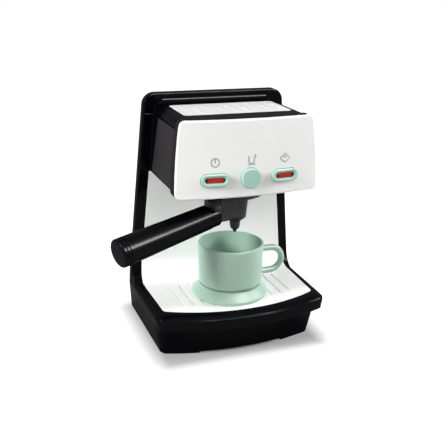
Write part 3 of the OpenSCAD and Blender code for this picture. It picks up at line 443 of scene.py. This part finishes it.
def symbol_curve(name, strokes, x):
    """A curve object of the strokes, upright in the plane y = 0 at sideways distance x."""
    data = bpy.data.curves.new(name, "CURVE")
    data.dimensions = "3D"
    for points, closed in strokes:
        spline = data.splines.new("POLY")
        spline.points.add(len(points) - 1)
        spline.use_cyclic_u = closed
        for point, (px, pz) in zip(spline.points, points):
            point.co = ((x + px * SYMBOL_SCALE) * MM, 0, (SYMBOL_Z + pz * SYMBOL_SCALE) * MM, 1)
    return placed(name, data)


def printed_line_tree():
    """Sweeps a flat stroke along each curve and lays it on the surface behind it."""
    tree = bpy.data.node_groups.new("printed_line", "GeometryNodeTree")
    socket = tree.interface.new_socket
    socket("Geometry", in_out="INPUT", socket_type="NodeSocketGeometry")
    socket("Stroke width", in_out="INPUT", socket_type="NodeSocketFloat")
    socket("Ink depth", in_out="INPUT", socket_type="NodeSocketFloat")
    socket("Point spacing", in_out="INPUT", socket_type="NodeSocketFloat")
    socket("Surface", in_out="INPUT", socket_type="NodeSocketObject")
    socket("Ink", in_out="INPUT", socket_type="NodeSocketMaterial")
    socket("Geometry", in_out="OUTPUT", socket_type="NodeSocketGeometry")

    def add(kind, **settings):
        return add_node(tree, kind, **settings)

    link = tree.links.new
    inputs = add("NodeGroupInput")
    outputs = add("NodeGroupOutput")

    # a ribbon along each stroke, flat to the front
    resample = add("GeometryNodeResampleCurve", mode="LENGTH")
    link(inputs.outputs["Geometry"], resample.inputs["Curve"])
    link(inputs.outputs["Point spacing"], resample.inputs["Length"])
    facing = add("GeometryNodeSetCurveNormal", mode="FREE")
    facing.inputs["Normal"].default_value = (0, -1, 0)
    link(resample.outputs["Curve"], facing.inputs["Curve"])
    profile = add("GeometryNodeCurvePrimitiveQuadrilateral", mode="RECTANGLE")
    link(inputs.outputs["Ink depth"], profile.inputs["Width"])
    link(inputs.outputs["Stroke width"], profile.inputs["Height"])
    sweep = add("GeometryNodeCurveToMesh")
    sweep.inputs["Fill Caps"].default_value = True
    link(facing.outputs["Curve"], sweep.inputs["Curve"])
    link(profile.outputs["Curve"], sweep.inputs["Profile Curve"])

    # each point of the ribbon goes back to the surface along Y and keeps its own depth there
    surface = add("GeometryNodeObjectInfo", transform_space="RELATIVE")
    link(inputs.outputs["Surface"], surface.inputs["Object"])
    here = add("GeometryNodeInputPosition")
    flat = add("ShaderNodeVectorMath", operation="MULTIPLY")
    flat.inputs[1].default_value = (1, 0, 1)
    link(here.outputs["Position"], flat.inputs[0])
    start = add("ShaderNodeVectorMath", operation="ADD")
    start.inputs[1].default_value = (0, -RAY_START, 0)
    link(flat.outputs["Vector"], start.inputs[0])
    ray = add("GeometryNodeRaycast", data_type="FLOAT_VECTOR")
    ray.inputs["Ray Direction"].default_value = (0, 1, 0)
    ray.inputs["Ray Length"].default_value = 1
    link(surface.outputs["Geometry"], ray.inputs["Target Geometry"])
    link(start.outputs["Vector"], ray.inputs["Source Position"])
    depth = add("ShaderNodeVectorMath", operation="MULTIPLY")
    depth.inputs[1].default_value = (0, 1, 0)
    link(here.outputs["Position"], depth.inputs[0])
    laid = add("ShaderNodeVectorMath", operation="ADD")
    link(ray.outputs["Hit Position"], laid.inputs[0])
    link(depth.outputs["Vector"], laid.inputs[1])
    place = add("GeometryNodeSetPosition")
    link(sweep.outputs["Mesh"], place.inputs["Geometry"])
    link(laid.outputs["Vector"], place.inputs["Position"])

    realize = add("GeometryNodeRealizeInstances")
    link(place.outputs["Geometry"], realize.inputs["Geometry"])
    ink = add("GeometryNodeSetMaterial")
    link(realize.outputs["Geometry"], ink.inputs["Geometry"])
    link(inputs.outputs["Ink"], ink.inputs["Material"])
    link(ink.outputs["Geometry"], outputs.inputs["Geometry"])
    return tree


def evaluated_mesh(thing):
    """A plain mesh of the object with its modifiers run."""
    graph = bpy.context.evaluated_depsgraph_get()
    graph.update()
    return bpy.data.meshes.new_from_object(thing.evaluated_get(graph), depsgraph=graph)


def baked(curve, tree, values):
    """Runs the tree on the curve with the named values and leaves a plain mesh object of the same name."""
    modifier = curve.modifiers.new(tree.name, "NODES")
    modifier.node_group = tree
    for item in tree.interface.items_tree:
        if item.in_out == "INPUT" and item.name in values:
            modifier[item.identifier] = values[item.name]
    mesh = evaluated_mesh(curve)
    name = curve.name
    bpy.data.objects.remove(curve)
    mesh.name = name
    return placed(name, mesh)


def print_symbols():
    """The three symbols over the buttons: power, cup and steam."""
    tree = printed_line_tree()
    values = {
        "Stroke width": STROKE * MM,
        "Ink depth": INK_DEPTH * MM,
        "Point spacing": POINT_SPACING * MM,
        "Surface": nodes["fascia"],
        "Ink": finishes["ink"].material,
    }
    for name, strokes, x in (
        ("power_symbol", power_strokes(), POWER_X),
        ("cup_symbol", cup_strokes(), CUP_X),
        ("steam_symbol", steam_strokes(), STEAM_X),
    ):
        piece = baked(symbol_curve(name, strokes, x), tree, values)
        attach(piece, "machine")


# ---------- the holder's arm and the springs ----------

BREW_AXIS = Vector((0, -28, 0)) * MM
# radius and height in mm, 0.02 mm outside the stem, from 1 mm below its end up to the raised underside
STEM_OUTLINE = ((5.04, 129.2), (6.22, 130.2), (10.92, 134.2), (11.06, 135.7))
ARM_REACH = 34.0
MERGE_DISTANCE = 0.0005 * MM
SHARP_ANGLE = math.radians(30)


def outward(mesh, merge=0.0):
    """Merges points closer than merge and turns every face of a closed mesh outwards."""
    shape = bmesh.new()
    shape.from_mesh(mesh)
    if merge:
        bmesh.ops.remove_doubles(shape, verts=shape.verts, dist=merge)
    bmesh.ops.recalc_face_normals(shape, faces=shape.faces)
    shape.to_mesh(mesh)
    shape.free()


def merged_copy(node, name):
    """An object of its own with the node's mesh, its doubled points merged."""
    mesh = nodes[node].data.copy()
    mesh.name = name
    outward(mesh, MERGE_DISTANCE)
    return placed(name, mesh)


def ring_round_stem(turns=96):
    """A closed ring from the stem's outline out to ARM_REACH, under the height at which the outline ends."""
    low, high = STEM_OUTLINE[0][1], STEM_OUTLINE[-1][1]
    outline = [*STEM_OUTLINE, (ARM_REACH, high), (ARM_REACH, low)]
    count = len(outline)
    points = []
    faces = []
    for i in range(turns):
        a = 2 * math.pi * i / turns
        points += [Vector((r * math.cos(a), r * math.sin(a), z)) * MM + BREW_AXIS for r, z in outline]
        here, after = i * count, (i + 1) % turns * count
        for k in range(count):
            m = (k + 1) % count
            faces.append((here + k, here + m, after + m, after + k))
    mesh = bpy.data.meshes.new("arm_cutter")
    mesh.from_pydata(points, [], faces)
    outward(mesh)
    return placed("arm_cutter", mesh)


def holder_body():
    """The filter holder's body with the underside of its arm raised clear of the lower end of the stem."""
    whole = merged_copy("portafilter_body", "holder_body")
    ring = ring_round_stem()
    cut = whole.modifiers.new("raise_arm", "BOOLEAN")
    cut.operation = "DIFFERENCE"
    cut.solver = "EXACT"
    cut.object = ring
    mesh = evaluated_mesh(whole)
    for used in (whole, ring):
        bpy.data.objects.remove(used)
    mesh.name = "holder_body"
    mesh.materials.clear()
    mesh.materials.append(finishes["charcoal"].material)
    for polygon in mesh.polygons:
        polygon.material_index = 0
    mesh.shade_smooth()
    mesh.set_sharp_from_angle(angle=SHARP_ANGLE)
    piece = placed("holder_body", mesh)
    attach(piece, "holder")
    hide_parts("portafilter_body")


def return_springs():
    """The three return springs as copies of their own, each riding on its joint's parent body in place of the
    imported node.
    """
    for joint in frame["record"]["behaviour"]["joints"]:
        for spring in joint.get("deforming_nodes", ()):
            piece = merged_copy(spring["node"], spring["node"] + "_coil")
            piece.data.shade_smooth()
            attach(piece, joint["parent"])
            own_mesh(piece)
            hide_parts(spring["node"])


# ---------- floor and world ----------

FLOOR_HALF = 3.0
FLOOR_TONE = 0.48
# the floor keeps its shadow in a rectangle of this half size, a little inside the base's outline, and turns
# to plain white over the width of the border round it
SHADOW_HALF = (0.080, 0.068, 0)
SHADOW_BORDER = 0.030
SHADOW_LIFT = 0.07
WORLD_LIGHT = 0.03


def seen_directly(tree):
    """1 for rays from the camera, from reflections and through clear parts; 0 for diffuse light."""
    path = add_node(tree, "ShaderNodeLightPath")
    total = path.outputs["Is Camera Ray"]
    for name in ("Is Glossy Ray", "Is Transmission Ray"):
        larger = add_node(tree, "ShaderNodeMath", operation="MAXIMUM")
        tree.links.new(total, larger.inputs[0])
        tree.links.new(path.outputs[name], larger.inputs[1])
        total = larger.outputs["Value"]
    return total


def whitening(tree):
    """SHADOW_LIFT inside the rectangle, rising to 1, which is plain white, over SHADOW_BORDER outside it."""
    place = add_node(tree, "ShaderNodeTexCoord").outputs["Object"]
    beside = add_node(tree, "ShaderNodeVectorMath", operation="ABSOLUTE")
    tree.links.new(place, beside.inputs[0])
    outside = add_node(tree, "ShaderNodeVectorMath", operation="SUBTRACT")
    outside.inputs[1].default_value = SHADOW_HALF
    tree.links.new(beside.outputs["Vector"], outside.inputs[0])
    clear = add_node(tree, "ShaderNodeVectorMath", operation="MAXIMUM")
    tree.links.new(outside.outputs["Vector"], clear.inputs[0])
    far = add_node(tree, "ShaderNodeVectorMath", operation="LENGTH")
    tree.links.new(clear.outputs["Vector"], far.inputs[0])
    lift = add_node(tree, "ShaderNodeMapRange")
    lift.inputs["From Max"].default_value = SHADOW_BORDER
    lift.inputs["To Min"].default_value = SHADOW_LIFT
    tree.links.new(far.outputs["Value"], lift.inputs["Value"])
    return lift.outputs["Result"]


def pale_floor():
    """Matt floor that takes the shadow, with a white glow that only direct looks and reflections see."""
    material = bpy.data.materials.new("pale_floor")
    material.use_nodes = True
    tree = material.node_tree
    tree.nodes.clear()
    matte = add_node(tree, "ShaderNodeBsdfDiffuse")
    matte.inputs["Color"].default_value = (FLOOR_TONE, FLOOR_TONE, FLOOR_TONE, 1)
    shown = add_node(tree, "ShaderNodeMath", operation="MULTIPLY")
    tree.links.new(seen_directly(tree), shown.inputs[0])
    tree.links.new(whitening(tree), shown.inputs[1])
    glow = add_node(tree, "ShaderNodeEmission")
    tree.links.new(shown.outputs["Value"], glow.inputs["Strength"])
    both = add_node(tree, "ShaderNodeAddShader")
    tree.links.new(matte.outputs["BSDF"], both.inputs[0])
    tree.links.new(glow.outputs["Emission"], both.inputs[1])
    output = add_node(tree, "ShaderNodeOutputMaterial")
    tree.links.new(both.outputs["Shader"], output.inputs["Surface"])
    return material


def add_floor():
    """A square floor under the toy."""
    corners = [(x * FLOOR_HALF, y * FLOOR_HALF, 0) for x, y in ((-1, -1), (1, -1), (1, 1), (-1, 1))]
    mesh = bpy.data.meshes.new("floor")
    mesh.from_pydata(corners, [], [(0, 1, 2, 3)])
    mesh.materials.append(pale_floor())
    floor = placed("floor", mesh)


def light_world():
    """A white surround to look at, which gives the toy itself only WORLD_LIGHT."""
    world = bpy.data.worlds.new("studio")
    world.use_nodes = True
    tree = world.node_tree
    tree.nodes.clear()
    level = add_node(tree, "ShaderNodeMapRange")
    level.inputs["To Min"].default_value = WORLD_LIGHT
    tree.links.new(seen_directly(tree), level.inputs["Value"])
    back = add_node(tree, "ShaderNodeBackground")
    back.inputs["Color"].default_value = (1, 1, 1, 1)
    tree.links.new(level.outputs["Result"], back.inputs["Strength"])
    output = add_node(tree, "ShaderNodeOutputWorld")
    tree.links.new(back.outputs["Background"], output.inputs["Surface"])
    bpy.context.scene.world = world


# ---------- lamps ----------

LAMP_AIM = Vector((0, 0, 0.12))
# name: place and size in metres, power in watts
LAMPS = {
    "left_softbox": ((-1.46, -0.33, 0.92), (0.5, 0.5), 31),
    "right_softbox": ((1.5, -0.3, 0.8), (0.45, 0.45), 25),
    "top_softbox": ((0, -0.6, 1.6), (1.2, 0.8), 4),
    "front_fill": ((-1.0, -1.3, 0.35), (0.8, 0.8), 3.5),
    "right_fill": ((0.75, -1.1, 1.0), (0.5, 0.5), 4),
    "right_kicker": ((0.94, -1.02, 0.9), (0.40, 0.07), 45),
    "front_kicker": ((0.4, -1.2, 1.17), (1.1, 0.30), 130),
}
# these only draw the light lines along glossy edges
REFLECTED_ONLY = ("right_kicker", "front_kicker")


def add_lamps():
    """Area lamps that all look at LAMP_AIM."""
    for name, (at, size, power) in LAMPS.items():
        data = bpy.data.lights.new(name, "AREA")
        data.shape = "RECTANGLE"
        data.size, data.size_y = size
        data.energy = power
        lamp = placed(name, data)
        lamp.location = at
        lamp.rotation_euler = (LAMP_AIM - Vector(at)).to_track_quat("-Z", "Y").to_euler()
        lamp.visible_diffuse = name not in REFLECTED_ONLY


add_camera()
dress_nodes()
print_symbols()
holder_body()
return_springs()
add_floor()
light_world()
add_lamps()
bpy.context.scene.view_settings.view_transform = "Standard"
